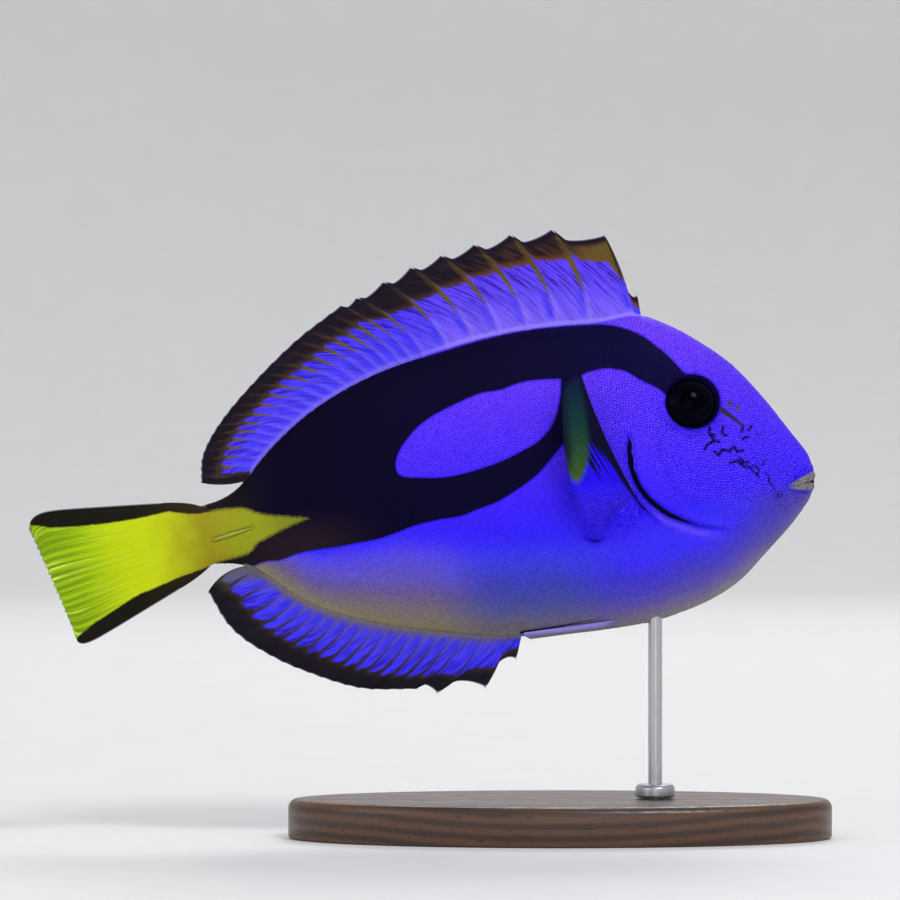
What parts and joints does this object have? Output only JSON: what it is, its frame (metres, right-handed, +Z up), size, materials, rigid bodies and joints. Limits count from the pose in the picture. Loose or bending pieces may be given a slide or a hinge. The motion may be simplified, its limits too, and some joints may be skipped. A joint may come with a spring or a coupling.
{
  "type": "regal blue tang model on a display stand",
  "caption": "Life-size still model of a regal blue tang, swimming nose up, held by one rod on a plain oval base.",
  "frame": {"origin": "middle of the stand base's flat underside", "axes": "+X towards the snout, +Y towards the fish's left side, +Z up"},
  "size_m": [0.1822, 0.058, 0.1392],
  "materials": {
    "skin": "satin blue scaled skin with a black band",
    "lips": "pale grey lips",
    "eyes": "glossy near-black eyes",
    "fins": "blue rayed fins with dark margins",
    "tail_fin": "yellow rayed tail with dark edges",
    "pectorals": "thin dark rays with a green-yellow outer part",
    "wood": "satin dark hardwood",
    "steel": "brushed round bar"
  },
  "bodies": {
    "root": {"head": "skin", "trunk": "skin", "tail_stalk": "skin", "upper_lip": "lips", "lower_lip": "lips", "eye_right": "eyes", "eye_left": "eyes", "dorsal_fin": "fins", "anal_fin": "fins", "caudal_fin": "tail_fin", "pectoral_fin_right": "pectorals", "pectoral_fin_left": "pectorals", "pelvic_fin_right": "fins", "pelvic_fin_left": "fins", "caudal_spine_right": "tail_fin", "caudal_spine_left": "tail_fin", "stand_base": "wood", "stand_collar": "steel", "stand_rod": "steel"}
  },
  "joints": []
}
